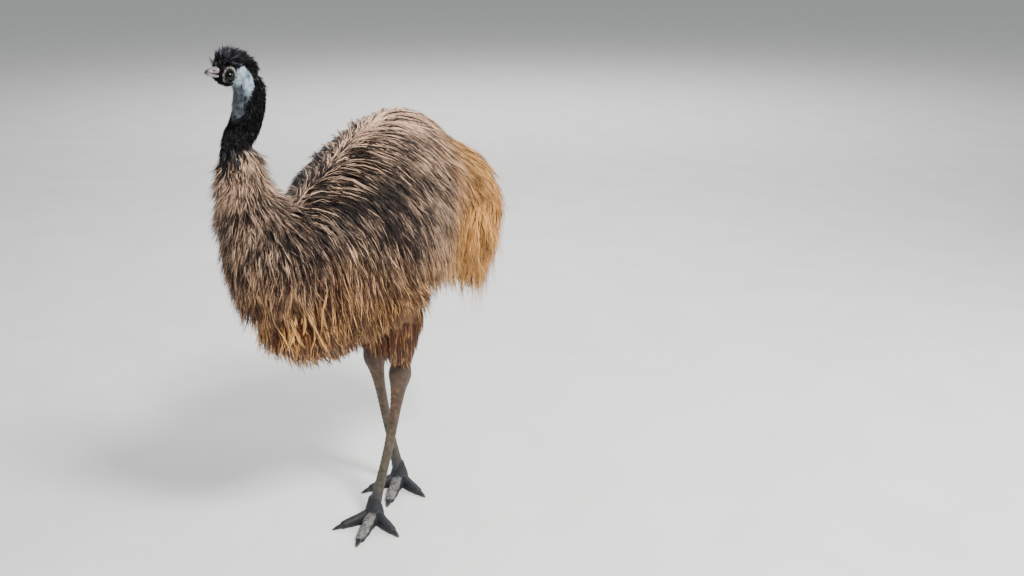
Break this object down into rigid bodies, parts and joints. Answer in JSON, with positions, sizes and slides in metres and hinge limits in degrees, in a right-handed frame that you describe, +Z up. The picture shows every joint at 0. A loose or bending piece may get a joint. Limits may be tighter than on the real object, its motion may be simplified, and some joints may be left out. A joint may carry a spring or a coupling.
{
  "type": "emu",
  "caption": "Life-size standing emu with shaggy grey-brown plumage, black upper neck and one foot a pace ahead of the other.",
  "frame": {"origin": "on the floor under the middle of the bounding box", "axes": "+Z up, the bird faces -Y and its left side is +X"},
  "size_m": [0.4154, 0.9744, 1.3557],
  "materials": {
    "body_plumage": "loose, shaggy grey-brown double feathers with pale and dark strands, matt",
    "tail_plumage": "loose hanging tawny to golden-brown feathers, matt",
    "neck_plumage": "shaggy pale grey-buff ruff with dark tips, matt",
    "black_down": "short black hair-like down; bare pale blue-grey skin behind the eye",
    "bill_horn": "smooth grey horn, satin",
    "eye_gloss": "wet dark brown, glossy",
    "leg_scales": "dry reddish-grey scaled skin with plates down the front",
    "foot_scales": "dark slate scaled skin, dusty on top",
    "claw_horn": "dark horn, satin, worn at the tip"
  },
  "bodies": {
    "root": {"torso": "body_plumage", "tail": "tail_plumage", "head": "black_down", "eye_left": "eye_gloss", "eye_right": "eye_gloss", "bill_upper": "bill_horn", "bill_lower": "bill_horn", "neck_upper": "black_down", "neck_middle": "neck_plumage", "neck_base": "neck_plumage", "thigh_left": "body_plumage", "foot_left": "foot_scales", "toe_left_middle": "foot_scales", "claw_left_middle": "claw_horn", "toe_left_inner": "foot_scales", "claw_left_inner": "claw_horn", "toe_left_outer": "foot_scales", "claw_left_outer": "claw_horn", "shank_left": "leg_scales", "thigh_right": "body_plumage", "foot_right": "foot_scales", "toe_right_middle": "foot_scales", "claw_right_middle": "claw_horn", "toe_right_inner": "foot_scales", "claw_right_inner": "claw_horn", "toe_right_outer": "foot_scales", "claw_right_outer": "claw_horn", "shank_right": "leg_scales"}
  },
  "joints": []
}
